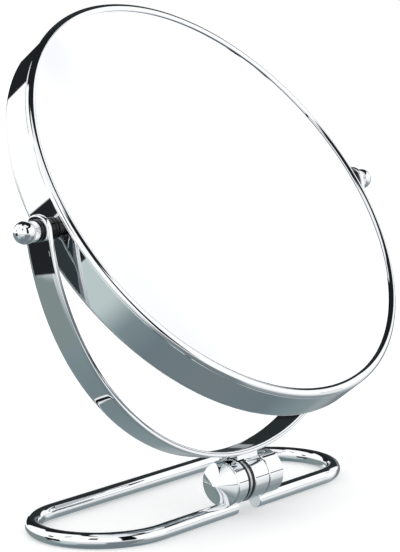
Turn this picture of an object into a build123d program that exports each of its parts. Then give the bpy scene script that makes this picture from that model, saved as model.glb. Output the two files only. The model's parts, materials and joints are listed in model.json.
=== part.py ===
from build123d import *
import os
from math import cos, pi, radians, sin, sqrt

# Folding table mirror with two faces, one plain and one magnifying.
# Millimetres, +Z up, +X along the pivot axis to the right, +Y to the back.
# The origin is on the table, straight below the middle of the pivot axis.

# Mirror frame, about its own centre: radius outwards, height along the mirror's normal
frame_radius = 100.0
mirror_angle = 36.4
rim_wall = 1.2
bezel_height = 2.2
bezel_lip = 1.1
bezel_face_width = 4.0
bezel_outer_round = 1.6
bezel_crown_width = 2.2
bezel_crown_drop = 0.6
bezel_spigot_depth = 2.5
bezel_spigot_wall = 1.15
seam_chamfer = 0.2

# Glass, and what packs the space between the two panes
glass_thickness = 3.0
glass_edge_cover = 1.3
magnifier_hollow = 7.3
board_thickness = 2.0
board_gap = 0.7
carrier_width = 7.4
cushion_width = 1.2
cushion_thickness = 0.7
inner_play = 0.2

# Yoke: a flat half-round band whose ends carry the mirror
rim_to_yoke = 6.1
yoke_thickness = 2.4
yoke_width = 12.8
yoke_angle = 7.0
yoke_edge_break = 0.3

# Pivots, the same on both sides, along X
screw_radius = 2.0
screw_reach = 7.8
insert_radius = 3.8
insert_length = 7.1
shoulder_radius = 3.2
bush_flange_radius = 4.2
washer_radius = 4.5
pivot_washer_thickness = 1.45
outer_washer_thickness = 1.7
collar_radius = 4.3
collar_length = 3.1
knurl_teeth = 36
knurl_depth = 0.25
ball_radius = 4.65
ball_stand_off = 4.9

# Base: one bent rod, closed by the hinge at the front
rod_radius = 3.4
rod_underside_flat = 0.15
base_half_straight = 57.0
base_bend_radius = 30.4
rod_end_break = 0.3

# Hinge barrel along X, let down over the rod ends
barrel_radius = 10.0
hinge_slot = 15.0
left_knuckle_length = 6.7
right_knuckle_length = 9.9
knuckle_web = 3.0
knuckle_edge_break = 0.3
rod_sink = 2.2
rod_lead = 1.3
saddle_height = 0.9
saddle_width = 10.0
cap_height = 5.2
cap_shoulder = 0.5
cap_shoulder_round = 0.4
plug_thickness = 1.1
plug_spigot = 1.2
pin_radius = 2.5
pin_head_radius = 4.6
pin_head_height = 2.4
nut_across_corners = 9.2
nut_height = 3.0
counterbore_radius = 5.6
thrust_washer_radius = 5.3
thrust_washer_thickness = 0.8
disc_spring_radius = 5.0
disc_spring_thickness = 0.5
disc_spring_cone = 0.4
friction_washer_inset = 0.25
thin_friction_washer = 1.4
friction_disc_thickness = 1.2
thick_friction_washer = 1.9
bearing_washer_inset = 1.0
bearing_washer_thickness = 0.4

# Fits and gaps
running_fit = 0.05
press_clearance = 0.02
clearance_hole = 0.3
face_gap = 0.05
slip_gap = 0.1

# Heights along the mirror's normal: both lips, both panes, the hollow and the board make the depth
packed_height = 2 * glass_thickness + magnifier_hollow + board_gap + board_thickness
half_depth = packed_height / 2 + bezel_lip
band_top = half_depth - bezel_height
lip_under = half_depth - bezel_lip
plain_glass_top = -lip_under + glass_thickness

# Radii of the mirror
band_inner_radius = frame_radius - rim_wall
lip_radius = frame_radius - bezel_face_width
glass_radius = lip_radius + glass_edge_cover
magnifier_curve_radius = (glass_radius**2 + magnifier_hollow**2) / (2 * magnifier_hollow)
spigot_outer_radius = band_inner_radius - press_clearance
spigot_inner_radius = spigot_outer_radius - bezel_spigot_wall
carrier_outer_radius = spigot_inner_radius - inner_play
carrier_inner_radius = carrier_outer_radius - carrier_width

# Places along X at the right pivot, from the rim outwards
yoke_inner_radius = frame_radius + rim_to_yoke
yoke_outer_radius = yoke_inner_radius + yoke_thickness
yoke_crown = yoke_width / 2
rim_washer_start = frame_radius + slip_gap
bush_start = rim_washer_start + pivot_washer_thickness + face_gap
yoke_inner_seat = sqrt(yoke_inner_radius**2 - washer_radius**2)
inner_washer_start = yoke_inner_seat - face_gap - pivot_washer_thickness
bush_shoulder_start = inner_washer_start - face_gap
outer_washer_start = yoke_outer_radius + face_gap
collar_start = outer_washer_start + outer_washer_thickness + face_gap
bush_end = yoke_outer_radius - face_gap
ball_centre = collar_start + ball_stand_off
insert_end = band_inner_radius - slip_gap
insert_start = insert_end - insert_length
screw_tip = frame_radius - screw_reach
shoulder_hole_radius = shoulder_radius + running_fit

# Where the hinge, the base and the pivot axis stand
hinge_drop = yoke_outer_radius + saddle_height + barrel_radius
rod_height = rod_radius - rod_underside_flat
hinge_rise = barrel_radius + rod_radius - rod_sink
hinge_height = rod_height + hinge_rise
hinge_y = -hinge_drop * sin(radians(yoke_angle))
pivot_height = hinge_height + hinge_drop * cos(radians(yoke_angle))
front_rod_y = hinge_y - rod_lead
base_centre_y = front_rod_y + base_bend_radius
back_rod_y = base_centre_y + base_bend_radius

# Places along X in the hinge barrel
slot_half = hinge_slot / 2
left_knuckle_end = -slot_half - left_knuckle_length
right_knuckle_end = slot_half + right_knuckle_length
thin_washer_start = -slot_half + face_gap
disc_start = thin_washer_start + thin_friction_washer + face_gap
thick_washer_start = disc_start + friction_disc_thickness + face_gap
yoke_knuckle_start = thick_washer_start + thick_friction_washer + face_gap
bearing_washer_start = slot_half - face_gap - bearing_washer_thickness
yoke_knuckle_end = bearing_washer_start - face_gap
friction_washer_radius = barrel_radius - friction_washer_inset
bearing_washer_radius = barrel_radius - bearing_washer_inset
head_start = -slot_half - knuckle_web
thrust_washer_start = slot_half + knuckle_web
springs_start = thrust_washer_start + thrust_washer_thickness + press_clearance
spring_height = disc_spring_thickness + disc_spring_cone
nut_start = springs_start + 2 * spring_height + 3 * press_clearance
nut_end = nut_start + nut_height
pin_bore_radius = pin_radius + running_fit
pin_clearance_radius = pin_radius + clearance_hole


def leaning_frame(angle):
    """Frame at the pivot: x along the pivot axis, y up the leaning plane, z out of its front."""
    normal = (0, -cos(radians(angle)), sin(radians(angle)))
    return Plane(origin=(0, 0, pivot_height), x_dir=(1, 0, 0), z_dir=normal).location


mirror_frame = leaning_frame(mirror_angle)
yoke_frame = leaning_frame(yoke_angle)
pivot_frame = Location((0, 0, pivot_height))
hinge_frame = Location((0, hinge_y, hinge_height))


def outline(*points):
    """Flat face with straight sides through the given points."""
    return make_face(Polyline(*points, close=True))


def turned_on_x(face):
    """Turned piece: the face holds places along X and radii."""
    return revolve(face, Axis.X)


def turned_on_z(face):
    """Turned piece: the face holds radii and heights along Z."""
    return revolve(Plane.XZ * face, Axis.Z)


def sleeve(start, length, radius, bore, edge_break=0.0):
    """Tube along X with broken outer edges."""
    end = start + length
    if edge_break == 0.0:
        return turned_on_x(outline((start, bore), (start, radius), (end, radius), (end, bore)))
    return turned_on_x(
        outline(
            (start, bore),
            (start, radius - edge_break),
            (start + edge_break, radius),
            (end - edge_break, radius),
            (end, radius - edge_break),
            (end, bore),
        )
    )


def bar(start, length, radius):
    """Plain round bar along X."""
    return Pos(start + length / 2, 0, 0) * Rot(0, 90, 0) * Cylinder(radius, length)


def drill(radius):
    """Cutter along X that reaches past both ends of the part."""
    reach = 2 * yoke_outer_radius
    return bar(-reach, 2 * reach, radius)


def glass_surface_height(radius, depth):
    """Height of the magnifying pane's surface, depth below its front face, at a radius."""
    curve_centre = lip_under + sqrt(magnifier_curve_radius**2 - glass_radius**2)
    return curve_centre - sqrt((magnifier_curve_radius + depth) ** 2 - radius**2)


def make_rim_band():
    """Flat band between the two bezels, drilled for the two pivot screws."""
    top = band_top
    face = outline(
        (band_inner_radius, -top),
        (frame_radius - seam_chamfer, -top),
        (frame_radius, -top + seam_chamfer),
        (frame_radius, top - seam_chamfer),
        (frame_radius - seam_chamfer, top),
        (band_inner_radius, top),
    )
    return turned_on_z(face) - drill(screw_radius + clearance_hole)


def make_bezel():
    """Front bezel: a lip, crowned down to the glass, and a spigot inside the band."""
    spigot_end = band_top - bezel_spigot_depth
    outer_corner = (frame_radius, half_depth)
    crown_top = (lip_radius + bezel_crown_width, half_depth)
    crown_foot = (lip_radius, half_depth - bezel_crown_drop)
    edges = [
        TangentArc(crown_top, crown_foot, tangent=(-1, 0)),
        Polyline(
            crown_foot,
            (lip_radius, lip_under),
            (spigot_inner_radius, lip_under),
            (spigot_inner_radius, spigot_end),
            (spigot_outer_radius, spigot_end),
            (spigot_outer_radius, band_top),
            (frame_radius - seam_chamfer, band_top),
            (frame_radius, band_top + seam_chamfer),
            outer_corner,
            crown_top,
        ),
    ]
    face = make_face(edges)
    face = fillet(face.vertices().sort_by_distance(outer_corner)[0], bezel_outer_round)
    return turned_on_z(face)


def make_magnifying_glass():
    """Curved pane of even thickness, hollow on its front face."""
    back = glass_thickness
    half = glass_radius / 2
    edges = [
        ThreePointArc(
            (0, glass_surface_height(0, 0)),
            (half, glass_surface_height(half, 0)),
            (glass_radius, glass_surface_height(glass_radius, 0)),
        ),
        Line(
            (glass_radius, glass_surface_height(glass_radius, 0)),
            (glass_radius, glass_surface_height(glass_radius, back)),
        ),
        ThreePointArc(
            (glass_radius, glass_surface_height(glass_radius, back)),
            (half, glass_surface_height(half, back)),
            (0, glass_surface_height(0, back)),
        ),
        Line((0, glass_surface_height(0, back)), (0, glass_surface_height(0, 0))),
    ]
    return turned_on_z(make_face(edges))


def make_plain_glass():
    """Flat pane against the rear bezel's lip."""
    return Pos(0, 0, plain_glass_top - glass_thickness / 2) * Cylinder(glass_radius, glass_thickness)


def carrier_top():
    """Height of the carrier, which leaves room for the cushion under the magnifying pane."""
    pane_back = glass_surface_height(carrier_inner_radius, glass_thickness)
    return pane_back - press_clearance - cushion_thickness


def make_carrier_ring():
    """Ring that holds the panes apart, notched for the two pivot inserts."""
    ring = turned_on_z(
        outline(
            (carrier_inner_radius, plain_glass_top),
            (carrier_outer_radius, plain_glass_top),
            (carrier_outer_radius, carrier_top()),
            (carrier_inner_radius, carrier_top()),
        )
    )
    notch_start = insert_start - slip_gap
    notch_floor = -insert_radius - clearance_hole
    notch_width = 2 * (insert_radius + clearance_hole)
    notch = Box(
        frame_radius - notch_start,
        notch_width,
        carrier_top() - notch_floor,
        align=(Align.MIN, Align.CENTER, Align.MIN),
    )
    for turn in (0, 180):
        ring -= Rot(0, 0, turn) * Pos(notch_start, 0, notch_floor) * notch
    return ring


def make_cushion_ring():
    """Soft ring between the carrier and the back of the magnifying pane."""
    inner = carrier_inner_radius + face_gap
    outer = inner + cushion_width
    floor = carrier_top()
    inner_top = glass_surface_height(inner, glass_thickness) - press_clearance
    outer_top = glass_surface_height(outer, glass_thickness) - press_clearance
    return turned_on_z(outline((inner, floor), (outer, floor), (outer, outer_top), (inner, inner_top)))


def make_backing_board():
    """Disc that backs the plain pane inside the carrier."""
    radius = carrier_inner_radius - inner_play
    return Pos(0, 0, plain_glass_top + board_thickness / 2) * Cylinder(radius, board_thickness)


def make_yoke():
    """Half-round flat band with straight ears, rounded and drilled at their tops."""
    middle_radius = yoke_outer_radius - yoke_thickness / 2
    section = Rectangle(yoke_thickness, yoke_width)
    section = chamfer(section.vertices(), yoke_edge_break)
    half_ring = revolve(Pos(-middle_radius, 0, 0) * Plane.XZ * section, Axis.Z, revolution_arc=180)
    ear = extrude(Plane.XZ * section, -yoke_crown)
    ear &= Pos(-yoke_thickness, 0, 0) * bar(0, 2 * yoke_thickness, yoke_crown)
    band = half_ring
    for side in (-1, 1):
        band += Pos(side * middle_radius, 0, 0) * ear
    return band - drill(shoulder_hole_radius)


def make_yoke_knuckle():
    """Middle barrel with a saddle that is brazed to the bottom of the band."""
    length = yoke_knuckle_end - yoke_knuckle_start
    barrel = sleeve(yoke_knuckle_start, length, barrel_radius, pin_bore_radius, knuckle_edge_break)
    saddle_start = thin_washer_start + slip_gap
    saddle_length = yoke_knuckle_end - knuckle_edge_break - saddle_start
    saddle = Pos(saddle_start, 0, 0) * Box(
        saddle_length,
        hinge_drop - yoke_inner_radius,
        saddle_width,
        align=(Align.MIN, Align.MIN, Align.CENTER),
    )
    saddle -= drill(barrel_radius - saddle_height)
    stack_length = yoke_knuckle_start - saddle_start + slip_gap
    saddle -= bar(saddle_start - slip_gap, stack_length, barrel_radius + clearance_hole)
    knuckle = Pos(0, -hinge_drop, 0) * (barrel + saddle)
    return knuckle - Cylinder(yoke_outer_radius, 2 * yoke_width)


def rod_centreline():
    """Route of the base rod, from the hinge slot round the base and back to it."""
    half = base_half_straight
    return (
        Line((slot_half, front_rod_y, rod_height), (half, front_rod_y, rod_height))
        + CenterArc((half, base_centre_y, rod_height), base_bend_radius, -90, 180)
        + Line((half, back_rod_y, rod_height), (-half, back_rod_y, rod_height))
        + CenterArc((-half, base_centre_y, rod_height), base_bend_radius, 90, 180)
        + Line((-half, front_rod_y, rod_height), (-slot_half, front_rod_y, rod_height))
    )


def make_base_rod():
    """Round rod bent to a long loop, its underside ground level to stand without rocking."""
    route = rod_centreline()
    section = Plane(origin=route @ 0, z_dir=route % 0) * Circle(rod_radius)
    rod = sweep(section, path=route)
    ends = [edge for edge in rod.edges() if abs(abs(edge.center().X) - slot_half) < face_gap]
    rod = chamfer(ends, rod_end_break)
    ground = Box(
        4 * (base_half_straight + base_bend_radius),
        4 * base_bend_radius,
        rod_radius,
        align=(Align.CENTER, Align.CENTER, Align.MAX),
    )
    return rod - Pos(0, base_centre_y, 0) * ground


def rod_seat():
    """The rod's own round, as the knuckles are cut to sit on it."""
    length = 2 * (right_knuckle_end + barrel_radius)
    place = Pos(0, front_rod_y - hinge_y, rod_height - hinge_height)
    return place * bar(-length / 2, length, rod_radius)


def make_left_knuckle():
    """Left base knuckle, counterbored for the pin's head."""
    length = left_knuckle_length
    knuckle = sleeve(left_knuckle_end, length, barrel_radius, pin_bore_radius, knuckle_edge_break)
    knuckle -= bar(left_knuckle_end, head_start - left_knuckle_end, counterbore_radius)
    return knuckle - rod_seat()


def make_right_knuckle():
    """Right base knuckle, counterbored for the springs and the nut."""
    length = right_knuckle_length
    knuckle = sleeve(slot_half, length, barrel_radius, pin_bore_radius, knuckle_edge_break)
    counterbore_length = right_knuckle_end - thrust_washer_start
    knuckle -= bar(thrust_washer_start, counterbore_length, counterbore_radius)
    return knuckle - rod_seat()


def make_hinge_cap():
    """Cone-shaped cap over the pin's head, pressed into the left knuckle and cut for the rod."""
    radius = barrel_radius - knuckle_edge_break
    shoulder = (left_knuckle_end - cap_shoulder, radius)
    spigot_radius = counterbore_radius - press_clearance
    spigot_end = left_knuckle_end + plug_spigot
    face = outline(
        (left_knuckle_end - cap_height, 0),
        shoulder,
        (left_knuckle_end, radius),
        (left_knuckle_end, spigot_radius),
        (spigot_end, spigot_radius),
        (spigot_end, 0),
    )
    face = fillet(face.vertices().sort_by_distance(shoulder)[0], cap_shoulder_round)
    return turned_on_x(face) - rod_seat()


def make_hinge_plug():
    """Flat plug that closes the right knuckle flush."""
    return bar(right_knuckle_end - plug_thickness, plug_thickness, counterbore_radius - press_clearance)


def make_hinge_pin():
    """Headed pin through all the knuckles, to the outer face of the nut."""
    head = bar(head_start - pin_head_height, pin_head_height, pin_head_radius)
    return head + bar(head_start, nut_end - head_start, pin_radius)


def make_hinge_nut():
    """Thin hexagon nut that sets the fold's friction."""
    hexagon = extrude(RegularPolygon(nut_across_corners / 2, 6), nut_height)
    return Pos(nut_start, 0, 0) * Rot(0, 90, 0) * (hexagon - Cylinder(pin_bore_radius, 3 * nut_height))


def make_disc_springs():
    """Two coned spring washers, back to back under the nut."""
    bore = pin_clearance_radius
    first = outline(
        (springs_start, disc_spring_radius),
        (springs_start + disc_spring_thickness, disc_spring_radius),
        (springs_start + spring_height, bore),
        (springs_start + disc_spring_cone, bore),
    )
    middle = springs_start + spring_height + press_clearance / 2
    spring = turned_on_x(first)
    return Compound([spring, mirror(spring, about=Plane.YZ.offset(middle))])


def make_pivot_knob():
    """Right thumb screw: ball end, knurled collar and threaded shank in one turned piece."""
    shank = bar(screw_tip, collar_start - screw_tip, screw_radius)
    valley = collar_radius - knurl_depth
    half_tooth = pi / knurl_teeth
    rim = []
    for tooth in range(knurl_teeth):
        angle = 2 * half_tooth * tooth
        rim.append((collar_radius * cos(angle), collar_radius * sin(angle)))
        rim.append((valley * cos(angle + half_tooth), valley * sin(angle + half_tooth)))
    teeth = Pos(collar_start, 0, 0) * Rot(0, 90, 0) * extrude(outline(*rim), collar_length)
    collar = teeth & sleeve(collar_start, collar_length, collar_radius, 0, knurl_depth)
    return shank + collar + Pos(ball_centre, 0, 0) * Sphere(ball_radius)


def make_pivot_insert():
    """Threaded boss fixed inside the band."""
    return sleeve(insert_start, insert_length, insert_radius, screw_radius + running_fit)


def make_pivot_bush():
    """Spacer bush whose shoulder turns in the yoke's hole."""
    bore = screw_radius + clearance_hole
    return turned_on_x(
        outline(
            (bush_start, bore),
            (bush_start, bush_flange_radius),
            (bush_shoulder_start, bush_flange_radius),
            (bush_shoulder_start, shoulder_radius),
            (bush_end, shoulder_radius),
            (bush_end, bore),
        )
    )


def pivot_pieces():
    """The pieces of the right pivot, by the names they take with a side added."""
    screw_bore = screw_radius + clearance_hole
    shoulder_bore = shoulder_radius + clearance_hole
    thickness = pivot_washer_thickness
    return {
        "pivot_knob": make_pivot_knob(),
        "pivot_insert": make_pivot_insert(),
        "pivot_bush": make_pivot_bush(),
        "pivot_rim_washer": sleeve(rim_washer_start, thickness, washer_radius, screw_bore),
        "pivot_inner_washer": sleeve(inner_washer_start, thickness, washer_radius, shoulder_bore),
        "pivot_outer_washer": sleeve(
            outer_washer_start, outer_washer_thickness, washer_radius, screw_bore
        ),
    }


def friction_ring(start, thickness, radius):
    """Flat ring of the hinge's friction stack."""
    return sleeve(start, thickness, radius, pin_clearance_radius)


bezel = make_bezel()
pieces = {
    "rim_band": mirror_frame * make_rim_band(),
    "bezel_front": mirror_frame * bezel,
    "bezel_rear": mirror_frame * Rot(180, 0, 0) * bezel,
    "glass_magnifying": mirror_frame * make_magnifying_glass(),
    "glass_plain": mirror_frame * make_plain_glass(),
    "carrier_ring": mirror_frame * make_carrier_ring(),
    "cushion_ring": mirror_frame * make_cushion_ring(),
    "backing_board": mirror_frame * make_backing_board(),
    "yoke": yoke_frame * make_yoke(),
    "yoke_knuckle": yoke_frame * make_yoke_knuckle(),
    "base_rod": make_base_rod(),
    "hinge_knuckle_left": hinge_frame * make_left_knuckle(),
    "hinge_knuckle_right": hinge_frame * make_right_knuckle(),
    "hinge_cap": hinge_frame * make_hinge_cap(),
    "hinge_plug": hinge_frame * make_hinge_plug(),
    "hinge_pin": hinge_frame * make_hinge_pin(),
    "hinge_nut": hinge_frame * make_hinge_nut(),
    "hinge_disc_springs": hinge_frame * make_disc_springs(),
    "hinge_thrust_washer": hinge_frame
    * friction_ring(thrust_washer_start, thrust_washer_thickness, thrust_washer_radius),
    "friction_washer_thin": hinge_frame
    * friction_ring(thin_washer_start, thin_friction_washer, friction_washer_radius),
    "friction_disc": hinge_frame
    * friction_ring(disc_start, friction_disc_thickness, friction_washer_radius),
    "friction_washer_thick": hinge_frame
    * friction_ring(thick_washer_start, thick_friction_washer, friction_washer_radius),
    "bearing_washer": hinge_frame
    * friction_ring(bearing_washer_start, bearing_washer_thickness, bearing_washer_radius),
}
for name, piece in pivot_pieces().items():
    for side, turn in (("right", 0), ("left", 180)):
        pieces[f"{name}_{side}"] = pivot_frame * Rot(0, 0, turn) * piece

os.makedirs("parts", exist_ok=True)
for name, piece in pieces.items():
    export_step(piece, f"parts/{name}.step")
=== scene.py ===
# %% [markdown]
# # A chrome makeup mirror, lesson by lesson
#
# The object is a free-standing mirror with two faces. A round chrome frame tilts between two thumb
# screws in a half-round yoke, and the yoke folds down onto a base bent from one rod. The solids
# come from a CAD program, in metres. This script keeps most of them, builds the pieces whose edges
# and surfaces the eye follows, and gives every piece its finish.

import json
from math import asin, cos, pi, radians, sin, sqrt, tan

import bmesh
import bpy
from mathutils import Matrix, Vector


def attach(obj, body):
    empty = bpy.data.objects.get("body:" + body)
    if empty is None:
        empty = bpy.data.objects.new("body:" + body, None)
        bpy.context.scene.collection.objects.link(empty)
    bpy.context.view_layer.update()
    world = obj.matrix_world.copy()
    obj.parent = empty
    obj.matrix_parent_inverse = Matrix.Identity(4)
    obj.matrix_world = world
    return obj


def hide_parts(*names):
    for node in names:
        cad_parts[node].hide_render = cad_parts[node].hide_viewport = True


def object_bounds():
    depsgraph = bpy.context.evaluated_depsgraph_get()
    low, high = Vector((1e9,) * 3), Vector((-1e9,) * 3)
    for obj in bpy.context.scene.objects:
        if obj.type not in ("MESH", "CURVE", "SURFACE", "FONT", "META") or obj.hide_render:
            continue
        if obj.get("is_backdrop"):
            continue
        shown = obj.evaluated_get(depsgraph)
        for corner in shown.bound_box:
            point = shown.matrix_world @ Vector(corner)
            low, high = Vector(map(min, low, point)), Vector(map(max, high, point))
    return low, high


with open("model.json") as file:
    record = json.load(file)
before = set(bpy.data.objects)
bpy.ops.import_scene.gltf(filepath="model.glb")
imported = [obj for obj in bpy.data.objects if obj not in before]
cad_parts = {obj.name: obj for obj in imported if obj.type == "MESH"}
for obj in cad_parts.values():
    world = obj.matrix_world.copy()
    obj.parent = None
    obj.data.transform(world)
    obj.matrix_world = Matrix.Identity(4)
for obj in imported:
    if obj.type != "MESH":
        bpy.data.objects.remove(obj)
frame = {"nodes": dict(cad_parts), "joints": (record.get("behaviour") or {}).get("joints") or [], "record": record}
cad_box = [list(corner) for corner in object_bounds()]
nodes = frame["nodes"]
print("CAD nodes:", len(nodes))

# %% [markdown]
# ## Sizes and places
#
# Drawings for metalwork are in millimetres and Blender works in metres, so one function turns one
# into the other. Three places are needed: the pivot in the middle of the mirror, the hinge at the
# foot of the yoke, and the lean of mirror and yoke. The first two come with the model's joints.

# %% Shared sizes
MM_PER_METRE = 1000
MIRROR_ANGLE = 36.4
YOKE_ANGLE = 7.0
FRAME_RADIUS = 100.0


def mm(length):
    """A length or a vector in millimetres, turned into metres."""
    return length / MM_PER_METRE


joints = {joint["name"]: joint for joint in frame["joints"]}
pivot = Vector(joints["mirror_tilt"]["pos_m"])
hinge = Vector(joints["yoke_fold"]["pos_m"])
print("pivot height", round(pivot.z, 5), "hinge height", round(hinge.z, 5))

# %% [markdown]
# A place is a matrix that carries a piece from the bench to where it belongs. A leaning place has x
# along the pivot axis, y up the leaning plane and z out of its front. A turned place has its z
# outwards along the pivot axis, or along the hinge axis, because turned pieces are drawn round z.

# %% Places
def leaning(angle):
    """Place in the middle of the mirror, leaning back by an angle in degrees."""
    normal = Vector((0, -cos(radians(angle)), sin(radians(angle))))
    across = Vector((1, 0, 0))
    turn = Matrix((across, normal.cross(across), normal)).transposed()
    return Matrix.Translation(pivot) @ turn.to_4x4()


def turned(origin, side):
    """Place on the pivot axis or the hinge axis, pointing right for side 1 and left for side -1."""
    turn = Matrix(((0, side, 0), (0, 0, 1), (side, 0, 0))).transposed()
    return Matrix.Translation(origin) @ turn.to_4x4()


mirror_place = leaning(MIRROR_ANGLE)
yoke_place = leaning(YOKE_ANGLE)
print("mirror faces", [round(value, 3) for value in mirror_place.col[2][:3]])

# %% [markdown]
# ## Camera
#
# The picture is taken from the front left, a little above the pivot, with a long lens. A long lens
# keeps the round frame an even oval. The long side of the picture sets the field of view.

# %% Camera
IMAGE_LONG_SIDE = 552
FOCAL_PIXELS = 2131.25
SENSOR_MM = 36
CAMERA_FROM_PIVOT = Vector((-0.711085, -0.564128, 0.100395))

camera_data = bpy.data.cameras.new("camera")
camera = bpy.data.objects.new("camera", camera_data)
bpy.context.scene.collection.objects.link(camera)
camera_data.sensor_width = SENSOR_MM
camera_data.lens = FOCAL_PIXELS / IMAGE_LONG_SIDE * SENSOR_MM
camera_right = Vector((0.62291, -0.78200, -0.02137))
camera_up = Vector((0.12558, 0.07300, 0.98939))
camera_turn = Matrix((camera_right, camera_up, camera_right.cross(camera_up))).transposed()
camera_place = Matrix.Translation(pivot + CAMERA_FROM_PIVOT)
camera.matrix_world = camera_place @ camera_turn.to_4x4()
bpy.context.scene.camera = camera
bpy.context.scene.view_settings.view_transform = "Standard"
print("lens", round(camera_data.lens, 2), "mm")

# %% [markdown]
# ## Materials
#
# Each finish is a small network of nodes. A noise varies the roughness, as no real surface is
# polished evenly. All but the glass also have a bump, of some thousandths of a millimetre on smooth
# pieces and up to about a tenth on the packing. Grain sizes are given in real millimetres. Colours
# are written as on a screen, so one function turns them into the linear values Blender works with.

# %% Colours and nodes
def linear(hex_colour):
    """sRGB hex to linear values with alpha."""
    values = [int(hex_colour[i : i + 2], 16) / 255 for i in (1, 3, 5)]
    return [v / 12.92 if v <= 0.04045 else ((v + 0.055) / 1.055) ** 2.4 for v in values] + [1.0]


def add(tree, kind, inputs=None, **settings):
    """A node with its settings; each input is a value, or a socket to link from."""
    node = tree.nodes.new(kind)
    for name, value in settings.items():
        setattr(node, name, value)
    for name, value in (inputs or {}).items():
        if isinstance(value, bpy.types.NodeSocket):
            tree.links.new(value, node.inputs[name])
        else:
            node.inputs[name].default_value = value
    return node


def new_material(name, **values):
    """Material whose shader has the given values; underscores stand for spaces."""
    material = bpy.data.materials.new(name)
    material.use_nodes = True
    shader = material.node_tree.nodes["Principled BSDF"]
    for socket, value in values.items():
        shader.inputs[socket.replace("_", " ")].default_value = value
    return material, material.node_tree, shader


print("white is", linear("#ffffff"))

# %% [markdown]
# Blender's noise runs from 0 to 1 but mostly stays near its middle, so the roughness is spread over
# that middle part. Beyond it the map range node holds the nearer end.

# %% Grain, roughness and bump
NOISE_LOW = 0.3
NOISE_HIGH = 0.7


def grain(tree, size, detail=2.0, stretch=(1, 1, 1)):
    """Noise whose grains are about size millimetres across, in the object's own space."""
    place = add(tree, "ShaderNodeTexCoord").outputs["Object"]
    mapping = add(tree, "ShaderNodeMapping", {"Vector": place, "Scale": stretch})
    inputs = {"Vector": mapping.outputs[0], "Scale": 1 / mm(size), "Detail": detail}
    return add(tree, "ShaderNodeTexNoise", inputs).outputs["Fac"]


def roughen(tree, shader, source, low, high):
    """Roughness between two values, as the source varies about its middle."""
    span = {"Value": source, "From Min": NOISE_LOW, "From Max": NOISE_HIGH}
    spread = add(tree, "ShaderNodeMapRange", {**span, "To Min": low, "To Max": high})
    tree.links.new(spread.outputs[0], shader.inputs["Roughness"])


def emboss(tree, shader, source, depth):
    """Bump of a depth in millimetres."""
    inputs = {"Height": source, "Distance": mm(depth), "Strength": 1.0}
    bump = add(tree, "ShaderNodeBump", inputs)
    tree.links.new(bump.outputs[0], shader.inputs["Normal"])


print("roughness spread over noise from", NOISE_LOW, "to", NOISE_HIGH)

# %% [markdown]
# ### Polished chrome
#
# Steel is ground and polished, then plated with nickel and a thin blue-white layer of chrome. It
# gives the eye sharp mirror images with a trace of haze where it was wiped, and the images wave a
# little where a flat face was held against the polishing wheel. The polishing marks themselves are
# too fine to show, so haze and waves are drawn about a centimetre wide.

# %% Chrome
chrome, chrome_tree, chrome_shader = new_material(
    "polished_chrome", Base_Color=linear("#e9ebed"), Metallic=1.0
)
roughen(chrome_tree, chrome_shader, grain(chrome_tree, 14), 0.012, 0.04)
emboss(chrome_tree, chrome_shader, grain(chrome_tree, 9, detail=1.0), 0.004)
print(chrome.name, len(chrome_tree.nodes), "nodes")

# %% [markdown]
# ### Silvered glass
#
# The panes are float glass with a silver layer behind, so they mirror without any haze and take a
# very faint cold tint. The only unevenness is a breath of dust and wiping marks, some centimetres
# wide. The glass in front of the silver is a clear coat on the metal.

# %% Silvered glass
silvered, silvered_tree, silvered_shader = new_material(
    "silvered_glass",
    Base_Color=linear("#f3f4f8"),
    Metallic=1.0,
    Coat_Weight=0.6,
    Coat_Roughness=0.0,
)
roughen(silvered_tree, silvered_shader, grain(silvered_tree, 25, detail=4.0), 0.0, 0.008)
print(silvered.name, len(silvered_tree.nodes), "nodes")

# %% [markdown]
# ### Black nylon
#
# The washers and bushes are punched or moulded from black nylon. They are almost black and come
# smooth out of a polished mould, so the eye sees dim, thin reflections on their edges. The moulding
# grain is drawn 0.35 mm wide, as the real one is too fine to show.

# %% Black nylon
nylon, nylon_tree, nylon_shader = new_material("black_nylon", Specular_IOR_Level=0.3)
nylon_grain = grain(nylon_tree, 0.35, detail=3.0)
nylon_tint = {0: grain(nylon_tree, 3.0), 6: linear("#050506"), 7: linear("#0d0d10")}
nylon_mix = add(nylon_tree, "ShaderNodeMix", nylon_tint, data_type="RGBA")
nylon_tree.links.new(nylon_mix.outputs[2], nylon_shader.inputs["Base Color"])
roughen(nylon_tree, nylon_shader, nylon_grain, 0.05, 0.13)
emboss(nylon_tree, nylon_shader, nylon_grain, 0.002)
print(nylon.name, len(nylon_tree.nodes), "nodes")

# %% [markdown]
# ### Zinc-plated steel
#
# The pin, nut, springs and inserts are turned or stamped and then zinc plated. Fine turning lines
# run round them and draw the light out into a soft streak. The noise is squeezed along the axis, x,
# which leaves lines about 0.15 mm wide.

# %% Steel
steel, steel_tree, steel_shader = new_material(
    "zinc_plated_steel", Base_Color=linear("#c9cbcc"), Metallic=1.0
)
steel_lines = grain(steel_tree, 2.0, detail=3.0, stretch=(14, 1, 1))
roughen(steel_tree, steel_shader, steel_lines, 0.16, 0.32)
emboss(steel_tree, steel_shader, steel_lines, 0.006)
print(steel.name, len(steel_tree.nodes), "nodes")

# %% [markdown]
# ### Packing inside the frame
#
# A moulded ring keeps the panes apart, a foam strip presses on the curved pane, and a board backs
# the flat one. They don't show in a closed mirror, but whoever takes it apart finds a milky
# moulding, a porous black strip and grey board with fibres in it.

# %% Carrier, foam and board
carrier, carrier_tree, carrier_shader = new_material(
    "moulded_carrier", Base_Color=linear("#e2e0d8"), Subsurface_Weight=0.05
)
carrier_grain = grain(carrier_tree, 0.6, detail=3.0)
roughen(carrier_tree, carrier_shader, carrier_grain, 0.42, 0.58)
emboss(carrier_tree, carrier_shader, carrier_grain, 0.02)

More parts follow.
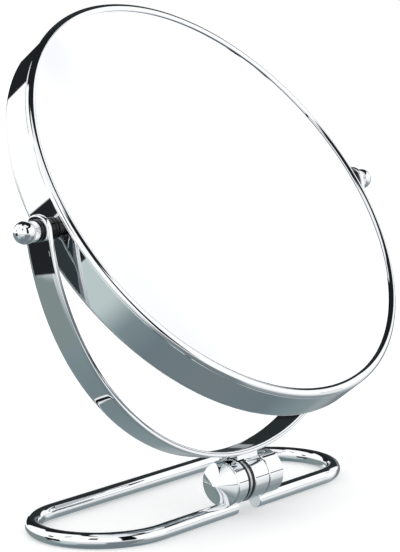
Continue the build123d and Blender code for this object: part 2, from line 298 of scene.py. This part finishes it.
foam, foam_tree, foam_shader = new_material("foam_strip", Base_Color=linear("#1b1b1c"))
foam_place = add(foam_tree, "ShaderNodeTexCoord").outputs["Object"]
pores = add(foam_tree, "ShaderNodeTexVoronoi", {"Vector": foam_place, "Scale": 1 / mm(0.5)})
roughen(foam_tree, foam_shader, pores.outputs["Distance"], 0.75, 0.95)
emboss(foam_tree, foam_shader, pores.outputs["Distance"], 0.12)

board, board_tree, board_shader = new_material("grey_millboard")
fibres = grain(board_tree, 1.5, detail=6.0, stretch=(1, 5, 1))
board_tint = {0: fibres, 6: linear("#8d8578"), 7: linear("#b5ad9e")}
board_mix = add(board_tree, "ShaderNodeMix", board_tint, data_type="RGBA")
board_tree.links.new(board_mix.outputs[2], board_shader.inputs["Base Color"])
roughen(board_tree, board_shader, fibres, 0.8, 0.95)
emboss(board_tree, board_shader, fibres, 0.05)
print(carrier.name, foam.name, board.name)

# %% [markdown]
# Every CAD node takes the finish of its slot in the record.

# %% Finishes for the CAD nodes
finishes = {
    "chrome": chrome,
    "steel": steel,
    "silvered_glass": silvered,
    "black_nylon": nylon,
    "carrier_plastic": carrier,
    "cushion": foam,
    "millboard": board,
}
for entry in frame["record"]["subparts"]:
    data = nodes[entry["node"]].data
    data.materials.clear()
    data.materials.append(finishes[entry["material_slot"]])

# %% [markdown]
# ## Mesh tools
#
# Most of the small pieces are turned on a lathe, so one tool spins an outline round an axis. A real
# turned edge is never knife-sharp, and it is the small round on it that catches the light, so the
# outline's corners can be rounded off.

# %% Lathe
MERGE_DISTANCE = 0.001
ROUND_STEPS = 4


def rounded(corners):
    """Outline through corners (radius, height, rounding), in millimetres."""
    points = []
    for index, (x, y, rounding) in enumerate(corners):
        corner = Vector((x, y))
        if rounding == 0:
            points.append(corner)
            continue
        before = (Vector(corners[index - 1][:2]) - corner).normalized()
        after = (Vector(corners[(index + 1) % len(corners)][:2]) - corner).normalized()
        half = before.angle(after) / 2
        centre = corner + (before + after).normalized() * (rounding / sin(half))
        first = corner + before * (rounding / tan(half)) - centre
        last = corner + after * (rounding / tan(half)) - centre
        for step in range(ROUND_STEPS + 1):
            points.append(centre + first.lerp(last, step / ROUND_STEPS).normalized() * rounding)
    return points


def lathe(outline, segments):
    """Mesh spun from an outline of radius and height. One that starts on the axis ends on it."""
    mesh = bmesh.new()
    ring = [mesh.verts.new((mm(radius), 0, mm(height))) for radius, height in outline]
    pairs = list(zip(ring, ring[1:]))
    if outline[0][0] > 0:
        pairs.append((ring[-1], ring[0]))
    edges = [mesh.edges.new(pair) for pair in pairs]
    bmesh.ops.spin(
        mesh,
        geom=ring + edges,
        cent=(0, 0, 0),
        axis=(0, 0, 1),
        dvec=(0, 0, 0),
        angle=2 * pi,
        steps=segments,
        use_merge=True,
    )
    bmesh.ops.remove_doubles(mesh, verts=mesh.verts, dist=mm(MERGE_DISTANCE))
    bmesh.ops.recalc_face_normals(mesh, faces=mesh.faces)
    return mesh


print("rounded corners have", ROUND_STEPS, "steps")

# %% [markdown]
# A finished mesh goes to its place and becomes an object at the origin. Faces are shaded smooth,
# and edges that turn by more than the crease angle stay sharp. A closed mesh has no open edges, so
# their number is printed for each piece.

# %% Finished pieces
def keep(name, mesh, place, material, body, crease=35):
    """Object from a mesh, which rides on a body and stands for the CAD node of the same name."""
    mesh.transform(place)
    open_edges = sum(not edge.is_manifold for edge in mesh.edges)
    data = bpy.data.meshes.new(name + "_finished")
    mesh.to_mesh(data)
    mesh.free()
    data.shade_smooth()
    data.set_sharp_from_angle(angle=radians(crease))
    data.materials.append(material)
    thing = bpy.data.objects.new(name + "_finished", data)
    bpy.context.scene.collection.objects.link(thing)
    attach(thing, body)
    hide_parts(name)
    print(name, len(data.polygons), "faces", open_edges, "open edges")


# %% [markdown]
# ## Magnifying pane
#
# The curved pane is a disc of glass that sagged into a round mould, so both faces are parts of
# spheres and it is equally thick all over. It is spun from two arcs with a ground edge between
# them, because a finely spun arc mirrors the room without facets.

# %% Magnifying pane
PANE_RADIUS = 97.3
PANE_THICKNESS = 3.0
PANE_HOLLOW = 7.3
PANE_EDGE_HEIGHT = 8.0
PANE_RINGS = 18
PANE_SEGMENTS = 160

curve_radius = (PANE_RADIUS**2 + PANE_HOLLOW**2) / (2 * PANE_HOLLOW)
curve_centre = PANE_EDGE_HEIGHT + sqrt(curve_radius**2 - PANE_RADIUS**2)


def pane_arc(depth, radii):
    """Points on the sphere that lies this deep in the glass."""
    curve = curve_radius + depth
    return [(radius, curve_centre - sqrt(curve**2 - radius**2)) for radius in radii]


outwards = [PANE_RADIUS * ring / PANE_RINGS for ring in range(PANE_RINGS + 1)]
pane_outline = pane_arc(0, outwards) + pane_arc(PANE_THICKNESS, outwards[::-1])
pane = lathe(pane_outline, PANE_SEGMENTS)
keep("glass_magnifying", pane, mirror_place, silvered, "mirror")

# %% [markdown]
# ## Bezels
#
# A bezel holds each pane in the frame. It is pressed from thin strip, its lip crowned to both sides
# of a soft ridge, so a band of dark runs along it and slides from its outer side to its inner side
# on the way round the frame. Behind the lip, a flange slips into the band. Heights are measured
# from the frame's middle, outwards along its axis. The rear bezel is the same piece turned over.

# %% Bezels
LIP_RADIUS = 96.0
LIP_TOP = 9.1
LIP_UNDER = 8.0
SEAM_HEIGHT = 6.9
FLANGE_END = 4.4
FLANGE_OUTSIDE = 98.78
FLANGE_INSIDE = 97.63
FLANGE_ROUND = 0.2
FOOT_WIDTH = 0.2
BEZEL_SEGMENTS = 288
DEGREES_PER_STEP = 4
# widths of the lip's arcs from the outside in, with the slope in degrees at both ends of each
CROWN_ARCS = ((0.2, 90, 60), (2.15, 60, 6), (0.1, 6, -9), (1.55, -9, -34))


def crown():
    """Lip's outline from its outer foot over the ridge to its inner edge."""
    points = [Vector((FRAME_RADIUS, 0))]
    for width, first, last in CROWN_ARCS:
        curve = width / (sin(radians(first)) - sin(radians(last)))
        steps = max(2, round(abs(first - last) / DEGREES_PER_STEP))
        start = points[-1] - Vector((sin(radians(first)), cos(radians(first)))) * curve
        for step in range(1, steps + 1):
            slope = radians(first + (last - first) * step / steps)
            points.append(start + Vector((sin(slope), cos(slope))) * curve)
    top = max(point.y for point in points)
    return [point + Vector((0, LIP_TOP - top)) for point in points]


def bezel():
    """Lip, then the flange behind it."""
    outline = crown()
    print("lip's foot", round(outline[0].y, 2), "lip's inner edge", round(outline[-1].y, 2))
    outline += rounded(
        (
            (LIP_RADIUS, LIP_UNDER, 0),
            (FLANGE_INSIDE, LIP_UNDER, 0),
            (FLANGE_INSIDE, FLANGE_END, FLANGE_ROUND),
            (FLANGE_OUTSIDE, FLANGE_END, FLANGE_ROUND),
            (FLANGE_OUTSIDE, SEAM_HEIGHT, 0),
            (FRAME_RADIUS - FOOT_WIDTH, SEAM_HEIGHT, 0),
        )
    )
    return lathe(outline, BEZEL_SEGMENTS)


turned_over = mirror_place @ Matrix.Rotation(pi, 4, "X")
keep("bezel_front", bezel(), mirror_place, chrome, "mirror")
keep("bezel_rear", bezel(), turned_over, chrome, "mirror")

# %% [markdown]
# ## Yoke
#
# The yoke starts as a flat strip of steel with two round ends, each with a hole for the pivot bush.
# Its edges are rounded, it is bent to a half circle, and then it is polished and plated. The mesh
# is made in the same order: a flat sheet, a thickness, rounded edges, and last the bend. It stays
# in millimetres until it is bent.

# %% Flat strip of the yoke
YOKE_RADIUS = 107.3
YOKE_THICKNESS = 2.4
YOKE_HALF_WIDTH = 6.4
YOKE_HOLE_RADIUS = 3.25
YOKE_EDGE_ROUND = 0.55
EAR_SPOKES = 32
STRIP_COLUMNS = 84
TINY = 1e-9


def ear_border(angle):
    """Point on the ear's outline: half a circle at the end and half a square towards the strip."""
    across, along = cos(angle), sin(angle)
    if along >= -TINY:
        return across * YOKE_HALF_WIDTH, along * YOKE_HALF_WIDTH
    reach = YOKE_HALF_WIDTH / max(abs(across), abs(along))
    return across * reach, along * reach


half_length = YOKE_RADIUS * pi / 2
strip = bmesh.new()
for side in (-1, 1):
    rings = []
    for reach in (0.0, 1.0):
        ring = []
        for spoke in range(EAR_SPOKES):
            angle = 2 * pi * spoke / EAR_SPOKES
            hole = (YOKE_HOLE_RADIUS * cos(angle), YOKE_HOLE_RADIUS * sin(angle))
            across, along = ear_border(angle) if reach else hole
            ring.append(strip.verts.new((side * (half_length + along), across, 0)))
        rings.append(ring)
    for spoke in range(EAR_SPOKES):
        after = (spoke + 1) % EAR_SPOKES
        strip.faces.new((rings[0][spoke], rings[0][after], rings[1][after], rings[1][spoke]))

# these spokes end on the straight side of the ear, where the strip shares its points
lowest = range(EAR_SPOKES * 5 // 8, EAR_SPOKES * 7 // 8 + 1)
rows =[ear_border(2 * pi * spoke / EAR_SPOKES)[0] for spoke in lowest]
start = YOKE_HALF_WIDTH - half_length
columns = []
for column in range(STRIP_COLUMNS + 1):
    along = start - 2 * start * column / STRIP_COLUMNS
    columns.append([strip.verts.new((along, across, 0)) for across in rows])
for left, right in zip(columns, columns[1:]):
    for row in range(len(rows) - 1):
        strip.faces.new((left[row], right[row], right[row + 1], left[row + 1]))
bmesh.ops.remove_doubles(strip, verts=strip.verts, dist=MERGE_DISTANCE)
bmesh.ops.recalc_face_normals(strip, faces=strip.faces)
print("flat strip", len(strip.faces), "faces")

# %% [markdown]
# The strip gets its thickness by extruding the sheet. The edges to round are those where two faces
# meet at a right angle: both outlines and both holes.

# %% Thickness and rounded edges
SHARP_ANGLE = 60

raised = bmesh.ops.extrude_face_region(strip, geom=list(strip.faces))["geom"]
raised = [item for item in raised if isinstance(item, bmesh.types.BMVert)]
bmesh.ops.translate(strip, verts=raised, vec=(0, 0, YOKE_THICKNESS))
bmesh.ops.translate(strip, verts=strip.verts, vec=(0, 0, -YOKE_THICKNESS / 2))
bmesh.ops.recalc_face_normals(strip, faces=strip.faces)
corners = [edge for edge in strip.edges if edge.calc_face_angle(0) > radians(SHARP_ANGLE)]
bmesh.ops.bevel(
    strip,
    geom=corners,
    offset=YOKE_EDGE_ROUND,
    segments=ROUND_STEPS,
    profile=0.5,
    affect="EDGES",
    material=-1,
)
print("rounded", len(corners), "edges")

# %% [markdown]
# Each point is carried from its distance along the strip to the same distance round the half
# circle. What lies beyond the half circle, the outer half of each ear, goes on straight up.

# %% Bend
for vert in strip.verts:
    along, across, out = vert.co
    radius = YOKE_RADIUS + out
    bend = max(-pi / 2, min(pi / 2, along / YOKE_RADIUS))
    rest = along - bend * YOKE_RADIUS
    place = Vector((radius * sin(bend), -radius * cos(bend) + abs(rest), across))
    vert.co = mm(place)
bmesh.ops.recalc_face_normals(strip, faces=strip.faces)
keep("yoke", strip, yoke_place, chrome, "yoke")

# %% [markdown]
# ## Pivot washers
#
# Between the thumb screw's collar, the yoke and the frame sit black washers that set the friction.
# Each has soft edges, which part them from each other to the eye. Heights below are distances from
# the mirror's middle, outwards along the pivot axis.

# %% Pivot washers
WASHER_RADIUS = 4.5
WASHER_SEGMENTS = 72
EDGE_ROUND = 0.4
BORE_ROUND = 0.1
SIDES = (("right", 1), ("left", -1))
# inner end, outer end, radius of the bore, and the body it rides on
PIVOT_RINGS = {
    "pivot_rim_washer": (100.1, 101.55, 2.3, "mirror"),
    "pivot_inner_washer": (104.505, 105.955, 3.5, "yoke"),
    "pivot_outer_washer": (108.55, 110.25, 2.3, "yoke"),
}


def washer(bore, radius, first_end, last_end, edge_round, segments):
    """Flat ring between two heights."""
    outline = rounded(
        (
            (bore, first_end, BORE_ROUND),
            (radius, first_end, edge_round),
            (radius, last_end, edge_round),
            (bore, last_end, BORE_ROUND),
        )
    )
    return lathe(outline, segments)


for side_name, side in SIDES:
    for ring_name, (inner_end, outer_end, bore, body) in PIVOT_RINGS.items():
        ring = washer(bore, WASHER_RADIUS, inner_end, outer_end, EDGE_ROUND, WASHER_SEGMENTS)
        name = f"{ring_name}_{side_name}"
        keep(name, ring, turned(pivot, side), nylon, body)

# %% [markdown]
# ## Thumb screws
#
# Each thumb screw is turned from one bar: a ball to hold, a collar with a straight knurl for grip,
# and a shank that goes through the yoke into the frame. The knurl is rolled on, which leaves
# rounded ribs. They fade out at both ends of the collar, where the edge is broken.

# %% Outline of the thumb screw
SCREW_TIP = 92.2
SCREW_RADIUS = 2.0
TIP_ROUND = 0.4
COLLAR_START = 110.3
COLLAR_LENGTH = 3.1
COLLAR_RADIUS = 4.3
COLLAR_ROUND = 0.3
COLLAR_STEPS = 6
NECK_RADIUS = 3.3
BALL_MIDDLE = 115.2
BALL_RADIUS = 4.65
BALL_STEPS = 28

collar_end = COLLAR_START + COLLAR_LENGTH


def screw_outline():
    """Outline from the tip of the shank over the collar and the ball to the axis."""
    shank = (
        (0, SCREW_TIP, 0),
        (SCREW_RADIUS, SCREW_TIP, TIP_ROUND),
        (SCREW_RADIUS, COLLAR_START, 0),
        (COLLAR_RADIUS, COLLAR_START, COLLAR_ROUND),
        (COLLAR_RADIUS, collar_end, 0),
    )
    outline = rounded(shank)[:-1]
    for step in range(1, COLLAR_STEPS):
        height = COLLAR_START + COLLAR_LENGTH * step / COLLAR_STEPS
        outline.append(Vector((COLLAR_RADIUS, height)))
    shoulder = (
        (COLLAR_RADIUS, COLLAR_START, 0),
        (COLLAR_RADIUS, collar_end, COLLAR_ROUND),
        (NECK_RADIUS, collar_end, 0),
    )
    outline += rounded(shoulder)[1:]
    neck_turn = pi - asin(NECK_RADIUS / BALL_RADIUS)
    for step in range(BALL_STEPS + 1):
        turn = neck_turn * (1 - step / BALL_STEPS)
        outline.append(Vector((BALL_RADIUS * sin(turn), BALL_MIDDLE + BALL_RADIUS * cos(turn))))
    return outline


print("thumb screw outline", len(screw_outline()), "points")

# %% [markdown]
# The knurl needs a few segments of the spun mesh for every rib. The skin of the collar is pushed in
# between the ribs along a smooth wave, and less and less towards both ends.

# %% Knurl
KNURL_RIBS = 44
KNURL_STEPS = 4
KNURL_DEPTH = 0.24
KNURL_FADE = 0.4
KNURL_MARGIN = 0.1
SKIN_DEPTH = 0.35
KNURL_CREASE = 50


def thumb_screw():
    """Spun screw with its collar knurled."""
    mesh = lathe(screw_outline(), KNURL_RIBS * KNURL_STEPS)
    for vert in mesh.verts:
        height = vert.co.z * MM_PER_METRE
        radius = sqrt(vert.co.x**2 + vert.co.y**2) * MM_PER_METRE
        inside = min(height - COLLAR_START, collar_end - height)
        if inside > KNURL_MARGIN and radius > COLLAR_RADIUS - SKIN_DEPTH:
            turn = Vector((1, 0)).angle_signed(Vector((vert.co.x, vert.co.y)))
            wave = 0.5 - 0.5 * cos(KNURL_RIBS * turn)
            depth = KNURL_DEPTH * wave * min(1, inside / KNURL_FADE)
            vert.co.x *= 1 - depth / radius
            vert.co.y *= 1 - depth / radius
    return mesh


for side_name, side in SIDES:
    name, body = f"pivot_knob_{side_name}", f"knob_{side_name}"
    keep(name, thumb_screw(), turned(pivot, side), chrome, body, KNURL_CREASE)

# %% [markdown]
# ## Friction washers of the hinge
#
# Two nylon washers with a steel disc between them give the fold its drag. They stand almost flush
# with the barrel, and their rounded edges make the ring of dark and light lines round the hinge.
# Heights are distances from the middle of the mirror, to the right along the hinge axis.

# %% Friction washers
FRICTION_BORE = 2.8
FRICTION_RADIUS = 9.75
FRICTION_ROUND = 0.35
FRICTION_SEGMENTS = 96
# left end, right end, and the body it rides on
HINGE_RINGS = {
    "friction_washer_thin": (-7.45, -6.05, "base"),
    "friction_washer_thick": (-4.75, -2.85, "yoke"),
}
for name, (first_end, last_end, body) in HINGE_RINGS.items():
    ring = washer(
        FRICTION_BORE, FRICTION_RADIUS, first_end, last_end, FRICTION_ROUND, FRICTION_SEGMENTS
    )
    keep(name, ring, turned(hinge, 1), nylon, body)

# %% [markdown]
# ## Studio
#
# Polished chrome has almost no colour of its own: it shows the room. The room here is a bright
# light tent on a grey table. It has dark gaps where the tent stays open, and a dark ceiling with
# one white panel over the front. The world shader paints it by direction, and only reflections see
# it. The camera sees plain white, and matt surfaces are lit by plain white too.

# %% Room colours
# elevation in degrees and colour
ROOM_GRADIENT = (
    (-90, "#6c7679"),
    (-62, "#677479"),
    (-48, "#758487"),
    (-38, "#7d888b"),
    (-30, "#9ba4a6"),
    (-22, "#cdd1d3"),
    (-12, "#e2e3e4"),
    (0, "#f8f8f8"),
)
TENT_BRIGHTNESS = 1.3
# name, azimuth and elevation of the middle, width, height, softness of the edge, all in degrees
ROOM_PANELS = (
    ("right_low", 19, 0, 50, 59, 16.0, "#6f777a"),
    ("back_low", 101, -24, 70, 41, 1.0, "#7a8584"),
    ("left_low", 160, -26, 31, 34, 14.0, "#b3bfbe"),
    ("front_low", -108, -35, 56, 46, 10.0, "#6f777b"),
    ("side_low", -55, -44, 60, 36, 14.0, "#8a8e90"),
    ("ceiling", -8, 66.5, 210, 50, 1.5, "#1b1e1f"),
    ("left_ceiling", 150, 84, 120, 24, 2.0, "#1c1f1f"),
    ("right_gap", 25, 32, 59, 46, 2.0, "#262b2c"),
    ("right_foot", 35, -3, 16, 12, 2.0, "#33393b"),
    ("back_gap", 64, 30, 24, 52, 1.5, "#1c1f21"),
    ("front_gap", -104, 26, 22, 56, 4.0, "#0b0f11"),
    ("left_gap", 142.2, -10.5, 25.4, 21.9, 0.6, "#202125"),
    ("left_lamp", 142.6, -14.5, 1.8, 1.8, 0.6, "#b9bfc1"),
    ("left_slat", 137, 18, 9, 12, 1.0, "#1c2022"),
    ("left_pole", 155, 45, 5, 16, 1.0, "#101314"),
    ("front_slat", -157, 39, 13, 20, 1.0, "#202426"),
    ("front_seam", -140, -7, 90, 1.6, 0.8, "#2a2d30"),
    ("right_cloth", 0, 15, 19, 27, 4.0, "#f2f2f2"),
    ("tent_hem", -39, -0.6, 9, 2.6, 0.8, "#43494c"),
    ("tent_roof", -115, 70, 100, 31, 4.0, "#eceded"),
    ("lilac_shade", -19, 26.5, 6, 4, 7.5, "#8a8a96"),
)
print("room gradient of", len(ROOM_GRADIENT), "colours and", len(ROOM_PANELS), "panels")

# %% [markdown]
# The gradient runs from the table straight below up to the horizon, and from there on the tent is
# almost white. Azimuth and elevation are worked out from the direction of each ray.

# %% Gradient of the room
world = bpy.data.worlds.new("light_tent")
bpy.context.scene.world = world
world.use_nodes = True
sky = world.node_tree
sky.nodes.clear()
direction = add(sky, "ShaderNodeTexCoord").outputs["Generated"]
axes = add(sky, "ShaderNodeSeparateXYZ", {"Vector": direction}).outputs
azimuth = add(sky, "ShaderNodeMath", {0: axes["Y"], 1: axes["X"]}, operation="ARCTAN2").outputs[0]
elevation = add(sky, "ShaderNodeMath", {0: axes["Z"]}, operation="ARCSINE").outputs[0]
whole = {"Value": elevation, "From Min": radians(-90), "From Max": radians(90)}
ramp = add(sky, "ShaderNodeValToRGB", {"Fac": add(sky, "ShaderNodeMapRange", whole).outputs[0]})
elements = ramp.color_ramp.elements
for index, (degrees, colour) in enumerate(ROOM_GRADIENT):
    # a new ramp already has two stops
    element = elements[index] if index < 2 else elements.new(1.0)
    element.position = (degrees + 90) / 180
    element.color = linear(colour)
room = ramp.outputs["Color"]
print("gradient stops:", len(elements))

# %% [markdown]
# Each panel is a rectangle in azimuth and elevation, laid over the ones before it like a card on a
# table. The farther such a card is out of focus, the softer its edge.

# %% Panels of the room
for name, middle, rise, width, tall, soft, colour in ROOM_PANELS:
    masks = []
    for angle, centre, size in ((azimuth, middle, width), (elevation, rise, tall)):
        away = add(sky, "ShaderNodeMath", {0: angle, 1: radians(centre)}, operation="SUBTRACT")
        turn = add(sky, "ShaderNodeMath", {0: away.outputs[0], 1: -pi, 2: pi}, operation="WRAP")
        far = add(sky, "ShaderNodeMath", {0: turn.outputs[0]}, operation="ABSOLUTE")
        edge = {
            "Value": far.outputs[0],
            "From Min": radians((size + soft) / 2),
            "From Max": radians((size - soft) / 2),
        }
        mask = add(sky, "ShaderNodeMapRange", edge, interpolation_type="SMOOTHSTEP")
        masks.append(mask.outputs[0])
    both = add(sky, "ShaderNodeMath", {0: masks[0], 1: masks[1]}, operation="MULTIPLY")
    layers = {0: both.outputs[0], 6: room, 7: linear(colour)}
    room = add(sky, "ShaderNodeMix", layers, data_type="RGBA").outputs[2]
print("room nodes:", len(sky.nodes))

# %% [markdown]
# The light path node tells what kind of ray looks at the world. A reflected ray gets the room, and
# every other ray gets plain white.

# %% World
mirrored = add(sky, "ShaderNodeBackground", {"Color": room, "Strength": TENT_BRIGHTNESS})
plain = add(sky, "ShaderNodeBackground", {"Color": (1, 1, 1, 1), "Strength": 1.0})
seen = add(sky, "ShaderNodeLightPath").outputs["Is Glossy Ray"]
either = add(sky, "ShaderNodeMixShader", {0: seen, 1: plain.outputs[0], 2: mirrored.outputs[0]})
add(sky, "ShaderNodeOutputWorld", {"Surface": either.outputs[0]})
print("world nodes:", len(sky.nodes))

# %% [markdown]
# The table is a broad disc of white paper. It takes the soft shadow that the object stands in, and
# a little light of its own lifts it to the white of the background. Chrome looks past it at the
# room, whose lower half stands for a grey table.

# %% Table
TABLE_RADIUS_METRES = 6.0
TABLE_SEGMENTS = 96
PAPER_GLOW = 0.3

table_mesh = bmesh.new()
bmesh.ops.create_circle(
    table_mesh, cap_ends=True, segments=TABLE_SEGMENTS, radius=TABLE_RADIUS_METRES
)
table_data = bpy.data.meshes.new("table")
table_mesh.to_mesh(table_data)
table_mesh.free()
table = bpy.data.objects.new("table", table_data)
bpy.context.scene.collection.objects.link(table)
table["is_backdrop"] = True
paper, paper_tree, paper_shader = new_material(
    "white_paper", Base_Color=linear("#f2f2f2"), Specular_IOR_Level=0.0
)
paper_grain = grain(paper_tree, 4.0, detail=3.0)
roughen(paper_tree, paper_shader, paper_grain, 0.85, 0.95)
emboss(paper_tree, paper_shader, paper_grain, 0.02)
camera_ray = add(paper_tree, "ShaderNodeLightPath").outputs["Is Camera Ray"]
glow = add(paper_tree, "ShaderNodeMath", {0: camera_ray, 1: PAPER_GLOW}, operation="MULTIPLY")
paper_tree.links.new(glow.outputs[0], paper_shader.inputs["Emission Strength"])
paper_shader.inputs["Emission Color"].default_value = (1, 1, 1, 1)
table_data.materials.append(paper)
table.visible_glossy = False
print("table", round(2 * TABLE_RADIUS_METRES), "metres across")

# %% [markdown]
# ## Size of the finished object
#
# The boxes of the CAD model and of the finished object are both printed, in metres. The finished
# object has to stay inside the box of the CAD model.

size = {"cad": cad_box, "visual": [list(corner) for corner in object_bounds()]}
print(size)
